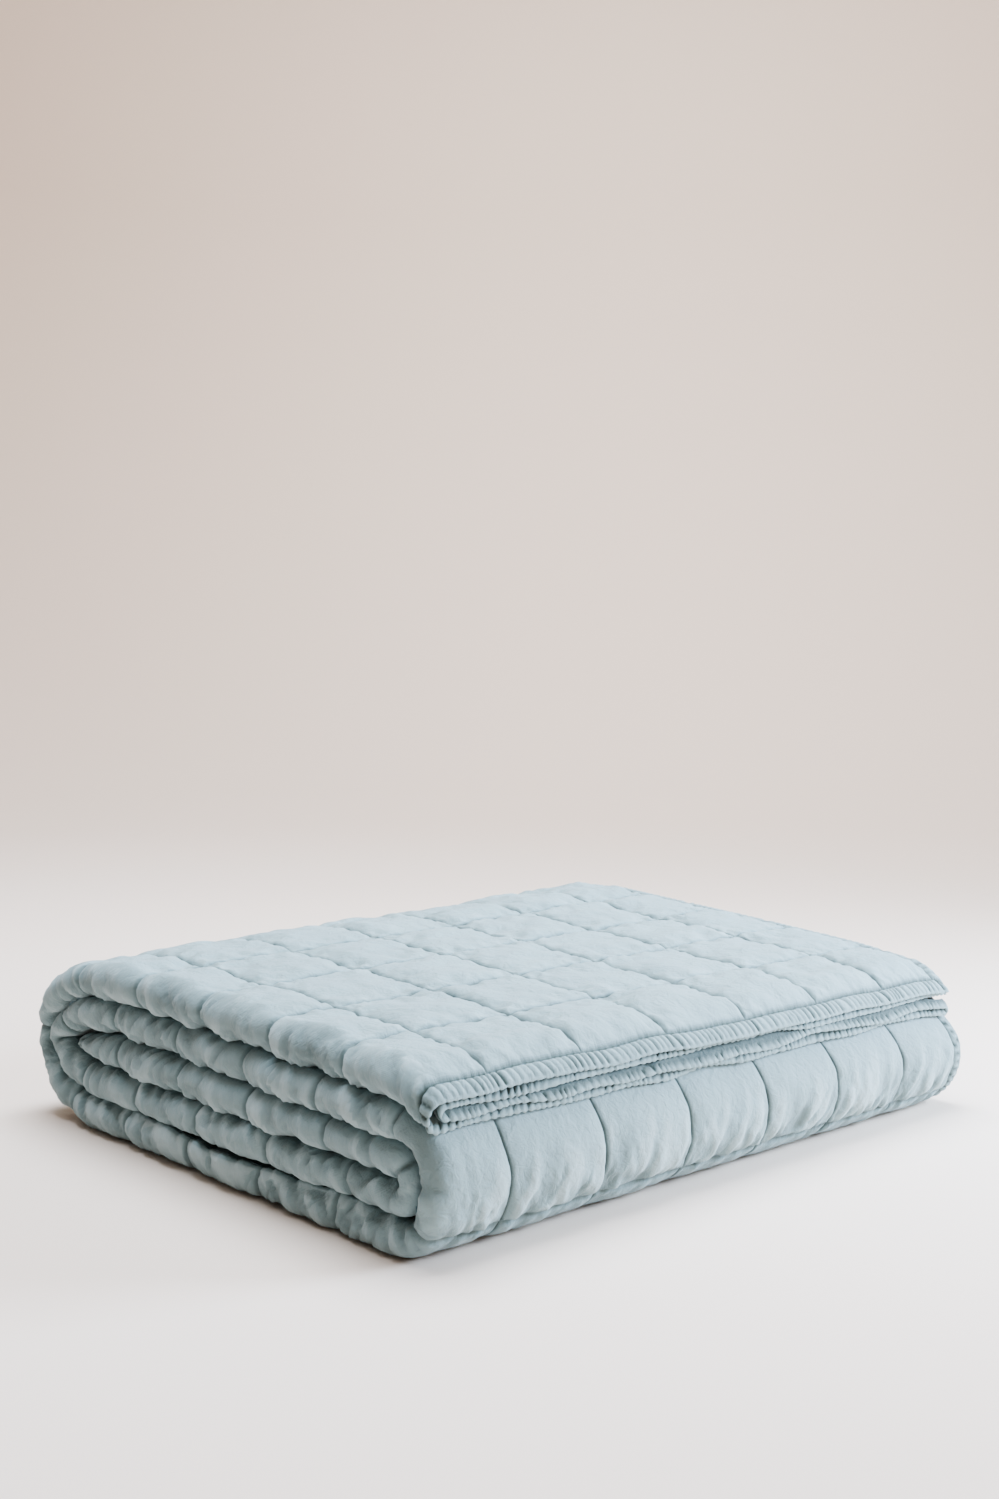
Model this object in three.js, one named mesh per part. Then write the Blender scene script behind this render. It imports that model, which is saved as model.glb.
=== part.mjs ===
// Quilted bed cover, folded lengthwise to four layers and then over and over into five flat levels.
// It is one piece: two faces of washed cotton with wadding between them, quilted in squares, with a
// turned and topstitched edge. Millimetres. X runs along the front edge, Y to the back, Z up. The
// origin is the middle of the base.
import * as THREE from 'three';

// Quilting
const quiltPitch = 89.15;
const edgeToFirstSeam = 0.96 * quiltPitch;
const hemWidth = 0.13 * quiltPitch;
const hemProfile = [
  { inset: 0, share: 0.45 },
  { inset: 0.35 * hemWidth, share: 0.85 },
  { inset: hemWidth, share: 0.5 },
  { inset: 2.1 * hemWidth, share: 1 },
];
const seamHalfThickness = 1.1;
const pillowRise = 2.4;
const pillowFullness = 1.3;
const leftSide = { bulge: 3.5, seamDip: 0.5 };
const seamTuck = { depth: 2.5, leftReach: 60, rightFrom: 540, rightTo: 590, rightShare: 0.5 };

// Layers and levels
const layerPitch = 6.9;
const layerGap = 0.8;
const levelPitch = 4 * layerPitch;
const halfThickness = (layerPitch - layerGap) / 2;

// The folded strip, measured across the front from the middle of its left fold
const rightEdgeTop = 579.7;
const rightEdgeSecond = 584;
const rightFoldCentre = 575;
const innerFoldCentre = 4.5;

// The levels in side view, with the front edge of the top one near y = 0
const frontFold = { y: 37.4, z: 2 * levelPitch, reach: 32.6, rise: 1.5 * levelPitch };
const backFoldTop = { y: 429, z: 70, reach: 86.5, rise: 4.5 * levelPitch - 70 };
const backFoldFoot = { y: 433, z: 70, reach: 82.5, rise: 70 - 0.5 * levelPitch };
const innerFrontFold = { y: 38.4, z: 2 * levelPitch, reach: 13.8, rise: 13.8 };
const hangOverAngle = 37;
const innerEndY = 462;

// Slip moves the layers along each other, in shares of their height in the strip: the outermost layer
// of the top level hangs out over the front, and the hidden end tapers to a point
const frontSlip = { share: 0.85, over: 110 };
const innerEnd = { over: 70, taper: 0.4, slip: -0.3 };

// Folds are drawn tight: the strip is thinner where it stands upright in them, and strips lie closer
const foldSqueeze = 0.34;
const foldCloser = 0.26;

// Where the photograph shows the seams that cross each level: y in quilting squares from seam 0
const seamsSeen = [
  { level: 'top', y: 1.0, seam: 1 },
  { level: 'top', y: 4.0, seam: 4 },
  { level: 'bottom', y: 4.2, seam: 8 },
  { level: 'bottom', y: 1.12, seam: 11 },
  { level: 'fourth', y: 1.35, seam: 14 },
  { level: 'fourth', y: 4.46, seam: 17 },
  { level: 'second', y: 4.05, seam: 20 },
  { level: 'second', y: 0.99, seam: 23 },
  { level: 'third', y: 1.25, seam: 25 },
  { level: 'third', y: 4.41, seam: 28 },
];

// How the stack is uneven: its height, as a share of the even one, from front to back, and a slight
// twist that lifts the back right corner
const stackHeights = [
  { y: 0, share: 0.915 },
  { y: 222, share: 0.995 },
  { y: 392, share: 1.05 },
  { y: 526, share: 1.0 },
];
const twist = { x: 275, y: 150, perSquareMillimetre: 5e-7 };
const wander = { size: 2.2, alongY: 0.011, alongZ: 0.045 };
const frontCorner = { toY: 120, fromZ: 60, toZ: 110, pulledIn: 14 };
const flatBelow = 20;
const bareFade = { under: 2, front: 1.5 };

// Fineness
const largestTurn = 24 * Math.PI / 180;
const largestBow = 0.75;
const cellSteps = [0, 0.28, 0.72];
const edgeStripSteps = [0.5, 0.75];
const edgeStripMiddle = 0.62;
const leftFoldSteps = 6;
const smallFoldSteps = 4;

const { clamp } = THREE.MathUtils;
const clamp01 = (value) => clamp(value, 0, 1);
const smoothStep = (from, to, value) => {
  const share = clamp01((value - from) / (to - from));
  return share * share * (3 - 2 * share);
};

// Straight lines between the rows of a table, from one column to another
function lookUp(table, from, to, value) {
  const inside = clamp(value, table[0][from], table[table.length - 1][from]);
  let i = 0;
  while (i < table.length - 2 && table[i + 1][from] < inside) {
    i++;
  }
  const a = table[i];
  const b = table[i + 1];
  return a[to] + (b[to] - a[to]) * (inside - a[from]) / (b[from] - a[from]);
}

// Side view of the strip's middle line: straight levels joined by rounded folds. An arc can lie some
// strips outside (or, below zero, inside) the fold that it is drawn from, so nested folds stay parallel.
function arc(level, fold, fromDegrees, toDegrees, stripsOut = 0) {
  const points = [];
  const steps = 60;
  for (let i = 0; i <= steps; i++) {
    const angle = THREE.MathUtils.degToRad(fromDegrees + (toDegrees - fromDegrees) * i / steps);
    const normal = new THREE.Vector2(Math.cos(angle) / fold.reach, Math.sin(angle) / fold.rise).normalize();
    const offset = stripsOut * levelPitch * (1 - foldCloser * normal.x * normal.x);
    points.push({
      level,
      y: fold.y + fold.reach * Math.cos(angle) + offset * normal.x,
      z: fold.z + fold.rise * Math.sin(angle) + offset * normal.y,
    });
  }
  return points;
}

function straight(level, fromY, toY, z) {
  const points = [];
  const steps = 120;
  for (let i = 1; i < steps; i++) {
    points.push({ level, y: fromY + (toY - fromY) * i / steps, z });
  }
  return points;
}

// The route starts at the free edge of the top level and ends at the hidden edge of the third
function layRoute() {
  const levelZ = (count) => (count - 0.5) * levelPitch;
  const route = [
    ...arc('top edge', frontFold, 90 + hangOverAngle, 90, 1),
    ...straight('top', frontFold.y, backFoldTop.y, levelZ(5)),
    ...arc('back fold', backFoldTop, 90, 0),
    ...arc('back fold', backFoldFoot, 0, -90).slice(1),
    ...straight('bottom', backFoldFoot.y, frontFold.y, levelZ(1)),
    ...arc('front fold', frontFold, 270, 90),
    ...straight('fourth', frontFold.y, backFoldTop.y, levelZ(4)),
    ...arc('inner back fold', backFoldTop, 90, 0, -1),
    ...arc('inner back fold', backFoldFoot, 0, -90, -1).slice(1),
    ...straight('second', backFoldFoot.y, innerFrontFold.y, levelZ(2)),
    ...arc('inner front fold', innerFrontFold, 270, 90),
    ...straight('third', innerFrontFold.y, innerEndY, levelZ(3)),
    { level: 'third', y: innerEndY, z: levelZ(3) },
  ];
  let length = 0;
  route.forEach((point, i) => {
    const before = route[Math.max(0, i - 1)];
    const after = route[Math.min(route.length - 1, i + 1)];
    length += Math.hypot(point.y - before.y, point.z - before.z);
    const along = new THREE.Vector2(after.y - before.y, after.z - before.z).normalize();
    point.length = length;
    point.along = along;
    point.out = new THREE.Vector2(-along.y, along.x);
  });
  return route;
}

const route = layRoute();
const routeLength = route[route.length - 1].length;

function routeAt(length) {
  let low = 0;
  let high = route.length - 1;
  while (high - low > 1) {
    const middle = (low + high) >> 1;
    if (route[middle].length <= length) {
      low = middle;
    } else {
      high = middle;
    }
  }
  const a = route[low];
  const b = route[high];
  const share = clamp01((length - a.length) / (b.length - a.length));
  const along = a.along.clone().lerp(b.along, share).normalize();
  return {
    length,
    level: share < 0.5 ? a.level : b.level,
    y: a.y + (b.y - a.y) * share,
    z: a.z + (b.z - a.z) * share,
    along,
    out: new THREE.Vector2(-along.y, along.x),
  };
}

// Seam positions along the route, with the free edge before seam 1 and the hidden edge after the last
function placeSeams() {
  const marks = seamsSeen.map(({ level, y, seam }) => {
    const onLevel = route.filter((point) => point.level === level);
    const place = onLevel.reduce((best, point) => (
      Math.abs(point.y - y * quiltPitch) < Math.abs(best.y - y * quiltPitch) ? point : best));
    return { seam, length: place.length };
  });
  const lastSeam = marks[marks.length - 1].seam;
  marks.unshift({ seam: 1 - edgeToFirstSeam / quiltPitch, length: 0 });
  marks.push({ seam: lastSeam + edgeToFirstSeam / quiltPitch, length: routeLength });
  return marks;
}

const seamMarks = placeSeams();

// A hidden hem is drawn more simply than one that shows
const shownHem = hemProfile.map(({ inset }) => inset);
const hiddenHem = [hemProfile[3], hemProfile[2], hemProfile[0]].map(({ inset }) => inset);

// Rings stand at the seams, on the flanks of each row of pillows, at the hems and round the folds
function placeRings() {
  const lastSeam = seamMarks[seamMarks.length - 2].seam;
  const lengths = [...shownHem];
  edgeStripSteps.forEach((step) => lengths.push(step * edgeToFirstSeam));
  for (let seam = 1; seam < lastSeam; seam++) {
    cellSteps.forEach((step) => lengths.push(lookUp(seamMarks, 'seam', 'length', seam + step)));
  }
  lengths.push(lookUp(seamMarks, 'seam', 'length', lastSeam));
  [edgeStripMiddle * edgeToFirstSeam, ...hiddenHem].forEach((inset) => {
    lengths.push(routeLength - inset);
  });
  const rings = [];
  for (let i = 0; i + 1 < lengths.length; i++) {
    const turn = routeAt(lengths[i]).along.angleTo(routeAt(lengths[i + 1]).along);
    const bow = turn * (lengths[i + 1] - lengths[i]) / 8;
    const parts = Math.max(1, Math.ceil(turn / largestTurn), Math.ceil(Math.sqrt(bow / largestBow)));
    for (let part = 0; part < parts; part++) {
      rings.push(lengths[i] + (lengths[i + 1] - lengths[i]) * part / parts);
    }
  }
  rings.push(routeLength);
  return rings;
}

// The strip seen from its end: one ribbon that runs from the free edge of its outermost layer round
// the left fold to the innermost layer, round the right fold, and back to the second free edge
function layRibbon() {
  const spans = [];
  let start = 0;
  const addLine = (name, fromX, toX, n) => {
    const size = Math.abs(toX - fromX);
    spans.push({ name, start, size, at: (d) => ({ x: fromX + (toX - fromX) * d, n, faceX: 0,
      faceN: Math.sign(fromX - toX) }) });
    start += size;
  };
  const addFold = (name, x, n, radius, fromDegrees, toDegrees) => {
    const size = Math.PI * radius;
    const facing = Math.sign(toDegrees - fromDegrees);
    spans.push({ name, start, size, at: (d) => {
      const angle = THREE.MathUtils.degToRad(fromDegrees + (toDegrees - fromDegrees) * d);
      const cos = Math.cos(angle);
      const sin = Math.sin(angle);
      return { x: x + radius * cos, n: n + radius * sin, faceX: facing * cos, faceN: facing * sin };
    } });
    start += size;
  };
  addLine('first layer', rightEdgeTop, 0, 1.5 * layerPitch);
  addFold('left fold', 0, 0, 1.5 * layerPitch, 90, 270);
  addLine('fourth layer', 0, rightFoldCentre, -1.5 * layerPitch);
  addFold('right fold', rightFoldCentre, -layerPitch, 0.5 * layerPitch, -90, 90);
  addLine('third layer', rightFoldCentre, innerFoldCentre, -0.5 * layerPitch);
  addFold('inner left fold', innerFoldCentre, 0, 0.5 * layerPitch, 270, 90);
  addLine('second layer', innerFoldCentre, rightEdgeSecond, 0.5 * layerPitch);
  return spans;
}

const ribbon = layRibbon();
const ribbonLength = ribbon[ribbon.length - 1].start + ribbon[ribbon.length - 1].size;
const span = (name) => ribbon.find((one) => one.name === name);

function ribbonAt(across) {
  const one = ribbon.find(({ start, size }) => across <= start + size) ?? ribbon[ribbon.length - 1];
  return { ...one.at((across - one.start) / one.size), name: one.name };
}

const foldPoints = (name, steps) => {
  const { start, size } = span(name);
  return Array.from({ length: steps + 1 }, (_, i) => start + size * i / steps);
};

// Places across the ribbon where its outline has points, on the face side and on the back side
function outlinePlaces() {
  const leftFold = span('left fold').start;
  const hem = [...hiddenHem].reverse();
  const farHem = hiddenHem.map((inset) => ribbonLength - inset);
  const pillows = [edgeStripMiddle * edgeToFirstSeam];
  for (let first = edgeToFirstSeam; first < leftFold; first += quiltPitch) {
    cellSteps.forEach((step) => pillows.push(first + step * quiltPitch));
  }
  const clearOfFold = leftFold - layerPitch;
  const seamUnder = edgeToFirstSeam + Math.ceil((leftFold - edgeToFirstSeam) / quiltPitch) * quiltPitch;
  const round = [...foldPoints('left fold', leftFoldSteps), seamUnder,
    seamUnder + cellSteps[1] * quiltPitch, ...foldPoints('right fold', smallFoldSteps)];
  const hidden = [...hem, ...round, ...foldPoints('inner left fold', 2), ...farHem];
  const shown = [...shownHem, ...pillows.filter((place) => place < clearOfFold), ...round,
    ...foldPoints('inner left fold', 2), ...farHem];
  const back = [...hem, ...foldPoints('left fold', smallFoldSteps), ...foldPoints('right fold', 2),
    ...foldPoints('inner left fold', smallFoldSteps), ...farHem].reverse();
  return { hidden, shown, back };
}

const places = outlinePlaces();

// Thickness: pinched in at the seams and at the hem stitching, full in the middle of each square
function pillow(squares) {
  return Math.min(1, pillowFullness * Math.sin(Math.PI * (squares - Math.floor(squares))));
}

// The last row of pillows slopes down to the hem stitching
function edgePillow(fromEdge) {
  return clamp01(fromEdge / hemWidth - 1) * pillow(0.5 + 0.5 * fromEdge / edgeToFirstSeam);
}

function pillowAcross(across) {
  const fromEdge = Math.min(across, ribbonLength - across);
  return fromEdge < edgeToFirstSeam ? edgePillow(fromEdge)
    : pillow((fromEdge - edgeToFirstSeam) / quiltPitch);
}

function pillowAlong(length) {
  const fromEdge = Math.min(length, routeLength - length);
  return fromEdge < edgeToFirstSeam ? edgePillow(fromEdge)
    : pillow(lookUp(seamMarks, 'length', 'seam', length));
}

const hemShare = (fromEdge) => lookUp(hemProfile, 'inset', 'share', fromEdge);

// How far the outer face is free to rise: fully on top and round the back, less where it turns under
// or under the free edge, and not where it is covered
function bareShare(place) {
  const up = place.out.y;
  if (['top edge', 'top', 'back fold'].includes(place.level)) {
    return clamp01(bareFade.under * (1 + up));
  }
  return place.level === 'front fold' ? clamp01(1 - bareFade.front * up * up) : 0;
}

function outlineAt(length) {
  const place = routeAt(length);
  const bare = bareShare(place);
  const along = pillowAlong(length);
  const inset = Math.min(length, routeLength - length);
  const nearEnd = 1 - smoothStep(0, innerEnd.over, routeLength - length);
  const taper = (1 - foldSqueeze * place.out.x * place.out.x) * (1 - innerEnd.taper * nearEnd);
  const slip = frontSlip.share * (1 - smoothStep(0, frontSlip.over, length)) + innerEnd.slip * nearEnd;
  const tuck = seamTuck.depth * (1 - along);
  const toPoint = (across, side) => {
    const at = ribbonAt(across);
    const fromEdge = Math.min(across, ribbonLength - across);
    let half = halfThickness * hemShare(inset) * hemShare(fromEdge);
    if (side > 0 && at.name === 'first layer' && bare > 0) {
      const raised = seamHalfThickness + (halfThickness + pillowRise - seamHalfThickness)
        * along * pillowAcross(across);
      half += (raised * hemShare(fromEdge) * hemShare(inset) - half) * bare;
    }
    if (side > 0 && at.faceX < 0 && at.name === 'left fold') {
      half += at.faceX * at.faceX * (leftSide.bulge * along - leftSide.seamDip);
    }
    const tuckLeft = tuck * (1 - smoothStep(0, seamTuck.leftReach, at.x));
    const tuckRight = tuck * seamTuck.rightShare * smoothStep(seamTuck.rightFrom, seamTuck.rightTo, at.x);
    const x = at.x + tuckLeft - tuckRight + side * half * at.faceX;
    const n = (at.n + side * half * at.faceN) * taper;
    return new THREE.Vector3(x, place.y + n * place.out.x + slip * n * place.along.x,
      place.z + n * place.out.y + slip * n * place.along.y);
  };
  const face = (bare > 0 ? places.shown : places.hidden).map((across) => ({ order: across,
    point: toPoint(across, 1) }));
  const back = places.back.map((across) => ({ order: 2 * ribbonLength - across,
    point: toPoint(across, -1) }));
  return [...face, ...back];
}

// A gentle stretch of the whole stack, even across each layer, so that every layer stays clear of the
// next
const baseHeight = 0.5 * levelPitch - 1.5 * layerPitch - halfThickness;
function settle(point) {
  const z = Math.max(0, point.z - baseHeight);
  const height = lookUp(stackHeights, 'y', 'share', point.y)
    + twist.perSquareMillimetre * (point.x - twist.x) * (point.y - twist.y);
  const corner = (1 - smoothStep(0, frontCorner.toY, point.y))
    * smoothStep(frontCorner.fromZ, frontCorner.toZ, z);
  const lifted = smoothStep(0, flatBelow, z);
  const sway = wander.size * lifted * Math.sin(wander.alongY * point.y + wander.alongZ * z);
  const x = point.x * (1 - frontCorner.pulledIn * corner / rightEdgeTop) + sway;
  return new THREE.Vector3(x, point.y, z * height);
}

// Skin between two rings: each step goes to whichever ring's next point comes first in order
function joinRings(first, second, triangles) {
  let i = 0;
  let j = 0;
  const order = (ring, index) => (index < ring.length ? ring[index].order : Infinity);
  while (i < first.length || j < second.length) {
    const a = first[i % first.length].index;
    const b = second[j % second.length].index;
    const advanceFirst = j >= second.length
      || (i < first.length && order(first, i + 1) <= order(second, j + 1));
    if (advanceFirst) {
      i++;
      triangles.push(a, b, first[i % first.length].index);
    } else {
      j++;
      triangles.push(a, b, second[j % second.length].index);
    }
  }
}

function capRing(ring, length, reversed, triangles) {
  const { y, z, out } = routeAt(length);
  const flat = ring.map(({ point }) => new THREE.Vector2(point.x, (point.y - y) * out.x
    + (point.z - z) * out.y));
  THREE.ShapeUtils.triangulateShape(flat, []).forEach(([a, b, c]) => {
    const corners = reversed ? [a, c, b] : [a, b, c];
    corners.forEach((corner) => triangles.push(ring[corner].index));
  });
}

function buildCover() {
  const vertices = [];
  const triangles = [];
  const lengths = placeRings();
  const rings = lengths.map((length) => outlineAt(length).map((entry) => {
    const index = vertices.length / 3;
    vertices.push(...settle(entry.point).toArray());
    return { ...entry, index };
  }));
  for (let i = 0; i + 1 < rings.length; i++) {
    joinRings(rings[i], rings[i + 1], triangles);
  }
  capRing(rings[0], lengths[0], false, triangles);
  capRing(rings[rings.length - 1], routeLength, true, triangles);
  const geometry = new THREE.BufferGeometry();
  geometry.setAttribute('position', new THREE.Float32BufferAttribute(vertices, 3));
  geometry.setIndex(triangles);
  return geometry;
}

const coverGeometry = buildCover();
coverGeometry.computeBoundingBox();
const middle = coverGeometry.boundingBox.getCenter(new THREE.Vector3());
coverGeometry.translate(-middle.x, -middle.y, -coverGeometry.boundingBox.min.z);
coverGeometry.computeVertexNormals();

const cover = new THREE.Mesh(coverGeometry, new THREE.MeshStandardMaterial({
  color: 0xbccacb,
  roughness: 0.9,
  metalness: 0,
}));
cover.name = 'quilted_cover';

const bedCover = new THREE.Group();
bedCover.add(cover);

export default bedCover;
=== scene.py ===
import bmesh
import bpy
import numpy as np
from mathutils import Matrix, Vector


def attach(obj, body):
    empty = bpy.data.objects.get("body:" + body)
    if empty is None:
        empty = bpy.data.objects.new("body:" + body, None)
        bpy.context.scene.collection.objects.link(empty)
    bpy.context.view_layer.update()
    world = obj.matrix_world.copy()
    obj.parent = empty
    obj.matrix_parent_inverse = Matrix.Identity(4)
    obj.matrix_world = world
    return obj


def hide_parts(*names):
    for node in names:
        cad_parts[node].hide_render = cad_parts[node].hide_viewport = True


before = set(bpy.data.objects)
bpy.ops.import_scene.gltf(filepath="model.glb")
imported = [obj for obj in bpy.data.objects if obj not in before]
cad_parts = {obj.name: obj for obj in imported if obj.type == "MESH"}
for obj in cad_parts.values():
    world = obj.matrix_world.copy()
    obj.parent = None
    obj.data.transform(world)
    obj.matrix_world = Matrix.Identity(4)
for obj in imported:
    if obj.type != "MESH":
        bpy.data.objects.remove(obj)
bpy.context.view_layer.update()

# Quilted panel, flat
# One panel of two washed cotton faces with light wadding between them, stitched together in squares.
# Lengths are in millimetres up to the last step. Across runs from one long edge to the other, along
# from the end that lies on top to the end that lies inside, and both are counted in squares too.
SQUARE = 89.15
EDGE_STRIP = 0.96 * SQUARE
HEM_WIDTH = 0.13 * SQUARE
SQUARES_ACROSS = 27
SQUARES_ALONG = 29
SEAM_HALF_THICKNESS = 2.0
CLUSTER_AT_SEAMS = 0.4
HEM_SHARE = 3 / 16


def noise(x, y, seed):
    """Smooth noise between -1 and 1, with features one unit apart."""
    cell_x, cell_y = np.floor(x), np.floor(y)
    part_x, part_y = x - cell_x, y - cell_y
    part_x, part_y = part_x**2 * (3 - 2 * part_x), part_y**2 * (3 - 2 * part_y)

    def corner(i, j):
        mixed = np.sin((cell_x + i) * 127.1 + (cell_y + j) * 311.7 + seed * 74.7) * 43758.5453
        return 2 * (mixed - np.floor(mixed)) - 1

    low = corner(0, 0) * (1 - part_x) + corner(1, 0) * part_x
    high = corner(0, 1) * (1 - part_x) + corner(1, 1) * part_x
    return low * (1 - part_y) + high * part_y


def smooth(low, high, value):
    share = np.clip((value - low) / (high - low), 0, 1)
    return share**2 * (3 - 2 * share)


def to_seams(count):
    """Draws the rows of points in each square closer to its seams."""
    return count - CLUSTER_AT_SEAMS * np.sin(2 * np.pi * count) / (2 * np.pi)


def swell(count):
    """How full the wadding is across a square: 0 at its seams, 1 in the middle."""
    return (1 - np.abs(2 * (count - np.floor(count)) - 1) ** 3) ** 0.8


# Puckers
# Cotton that shrinks less than its stitching puckers along the seams. A piece of the panel is
# simulated flat, ten times life size, with its seams pinned and its cloth a little too large for
# them, and the puckers are laid on every square that shows.
PANEL_SQUARES = (7, 8)
PANEL_POINTS = 26
PANEL_SQUARE_M = 0.9
PANEL_START_RISE_M = 0.0435
PANEL_START_SHIFT_M = 0.012
PANEL_START_BUMPS_M = {"wide": 0.006, "small": 0.004}
PANEL_FRAMES = 20


def quilting_cloth(piece):
    cloth = piece.modifiers.new("Cloth", "CLOTH")
    settings = cloth.settings
    settings.quality = 6
    settings.mass = 0.3
    settings.tension_stiffness = settings.compression_stiffness = 40
    settings.shear_stiffness = 3
    settings.bending_stiffness = 3
    settings.tension_damping = settings.compression_damping = settings.shear_damping = 5
    settings.bending_damping = 0.5
    settings.air_damping = 2
    settings.shrink_min = settings.shrink_max = -0.035
    settings.vertex_group_mass = "seams"
    settings.pin_stiffness = 1
    settings.use_pressure = True
    settings.uniform_pressure_force = 1
    settings.effector_weights.gravity = 0
    cloth.collision_settings.use_collision = False
    cloth.point_cache.frame_start = 1
    cloth.point_cache.frame_end = PANEL_FRAMES


def simulate_panel():
    """Where the simulated cloth has moved to from the flat panel, in millimetres, row by row."""
    wide, long = (squares * PANEL_POINTS for squares in PANEL_SQUARES)
    bm = bmesh.new()
    bmesh.ops.create_grid(bm, x_segments=wide, y_segments=long, size=0.5,
                          matrix=Matrix.Translation((0.5, 0.5, 0)))
    bmesh.ops.scale(bm, vec=(*PANEL_SQUARES, 1), verts=bm.verts)
    mesh = bpy.data.meshes.new("puckers")
    bm.to_mesh(mesh)
    bm.free()
    flat = np.zeros((len(mesh.vertices), 3), np.float32)
    mesh.vertices.foreach_get("co", flat.ravel())
    flat = flat.astype(float)
    u, v = flat[:, 0], flat[:, 1]
    place = np.rint(flat[:, :2] * PANEL_POINTS).astype(int)
    inside = np.minimum(1, 8 * np.minimum.reduce([u, v, PANEL_SQUARES[0] - u, PANEL_SQUARES[1] - v]))
    start = np.column_stack([
        to_seams(u) * PANEL_SQUARE_M + inside * PANEL_START_SHIFT_M * noise(u * 5, v * 5, 1),
        to_seams(v) * PANEL_SQUARE_M + inside * PANEL_START_SHIFT_M * noise(u * 5, v * 5, 2),
        PANEL_START_RISE_M * swell(to_seams(u)) * swell(to_seams(v))
        + inside * (PANEL_START_BUMPS_M["wide"] * noise(u * 9, v * 9, 3)
                    + PANEL_START_BUMPS_M["small"] * noise(u * 23, v * 23, 5)),
    ])
    mesh.vertices.foreach_set("co", start.astype(np.float32).ravel())
    piece = bpy.data.objects.new("puckers", mesh)
    bpy.context.scene.collection.objects.link(piece)
    seams = np.nonzero((place % PANEL_POINTS == 0).any(axis=1))[0]
    piece.vertex_groups.new(name="seams").add([int(i) for i in seams], 1, "REPLACE")
    quilting_cloth(piece)
    for step in range(1, PANEL_FRAMES + 1):
        bpy.context.scene.frame_set(step)
    settled = piece.evaluated_get(bpy.context.evaluated_depsgraph_get()).to_mesh()
    moved = np.zeros(len(settled.vertices) * 3, np.float32)
    settled.vertices.foreach_get("co", moved)
    bpy.context.scene.frame_set(1)
    bpy.data.objects.remove(piece)
    bpy.data.meshes.remove(mesh)
    flat_place = np.column_stack([to_seams(u), to_seams(v), 0 * u]) * PANEL_SQUARE_M
    shift = (moved.reshape(-1, 3) - flat_place) * SQUARE / PANEL_SQUARE_M
    rows = np.zeros((long + 1, wide + 1, 3))
    rows[place[:, 1], place[:, 0]] = shift
    return rows


puckers = simulate_panel()
# The mean square is the plain pillow, and what is left over is the puckers alone.
squares = puckers[:-1, :-1].reshape(PANEL_SQUARES[1], PANEL_POINTS, PANEL_SQUARES[0], PANEL_POINTS, 3)
mean_square = squares.mean(axis=(0, 2))
pillow_shape = mean_square[:, :, 2] / mean_square[:, :, 2].max()
puckers[:-1, :-1] = (squares - mean_square[None, :, None]).reshape(puckers[:-1, :-1].shape)
puckers[-1] = puckers[0]
puckers[:, -1] = puckers[:, 0]


def between_rows(rows, u, v):
    """A value between the four nearest points of rows that repeat."""
    size_v, size_u = rows.shape[:2]
    low_u, low_v = np.floor(u).astype(int), np.floor(v).astype(int)
    part_u, part_v = (u - low_u), (v - low_v)
    if rows.ndim == 3:
        part_u, part_v = part_u[:, None], part_v[:, None]
    a = rows[low_v % size_v, low_u % size_u]
    b = rows[low_v % size_v, (low_u + 1) % size_u]
    c = rows[(low_v + 1) % size_v, low_u % size_u]
    d = rows[(low_v + 1) % size_v, (low_u + 1) % size_u]
    return (a * (1 - part_u) + b * part_u) * (1 - part_v) + (c * (1 - part_u) + d * part_u) * part_v


# Folding
# The panel is folded lengthwise to four layers, two folds on the left and one on the right, and the
# strip is then turned over and over from its hidden end into five flat levels, so that its free end
# lies on top. These are the sizes of the frame's own solid, in its own order.
LAYER_PITCH = 6.9
LAYER_GAP = 0.8
LEVEL_PITCH = 4 * LAYER_PITCH
HALF_THICKNESS = (LAYER_PITCH - LAYER_GAP) / 2
RIGHT_EDGE_TOP = 579.7
RIGHT_EDGE_SECOND = 584
RIGHT_FOLD = 575
INNER_LEFT_FOLD = 4.5
FRONT_FOLD = {"y": 37.4, "z": 2 * LEVEL_PITCH, "reach": 32.6, "rise": 1.5 * LEVEL_PITCH}
BACK_FOLD_TOP = {"y": 429, "z": 70, "reach": 86.5, "rise": 4.5 * LEVEL_PITCH - 70}
BACK_FOLD_FOOT = {"y": 433, "z": 70, "reach": 82.5, "rise": 70 - 0.5 * LEVEL_PITCH}
INNER_FRONT_FOLD = {"y": 38.4, "z": 2 * LEVEL_PITCH, "reach": 13.8, "rise": 13.8}
HANG_OVER_ANGLE = 37
INNER_END_Y = 462
FOLD_SQUEEZE = 0.34
FOLD_CLOSER = 0.26
STACK_CENTRE = (283.8, 259.4)
LEVELS = ["top edge", "top", "back fold", "bottom", "front fold", "fourth", "inner back fold",
          "second", "inner front fold", "third"]
# Where seams cross each level: y in squares from seam 0
SEAMS_SEEN = [
    {"level": "top", "y": 1.0, "seam": 1},
    {"level": "top", "y": 4.0, "seam": 4},
    {"level": "bottom", "y": 4.2, "seam": 8},
    {"level": "bottom", "y": 1.12, "seam": 11},
    {"level": "fourth", "y": 1.35, "seam": 14},
    {"level": "fourth", "y": 4.46, "seam": 17},
    {"level": "second", "y": 4.05, "seam": 20},
    {"level": "second", "y": 0.99, "seam": 23},
    {"level": "third", "y": 1.25, "seam": 25},
    {"level": "third", "y": 4.41, "seam": 28},
]


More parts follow.
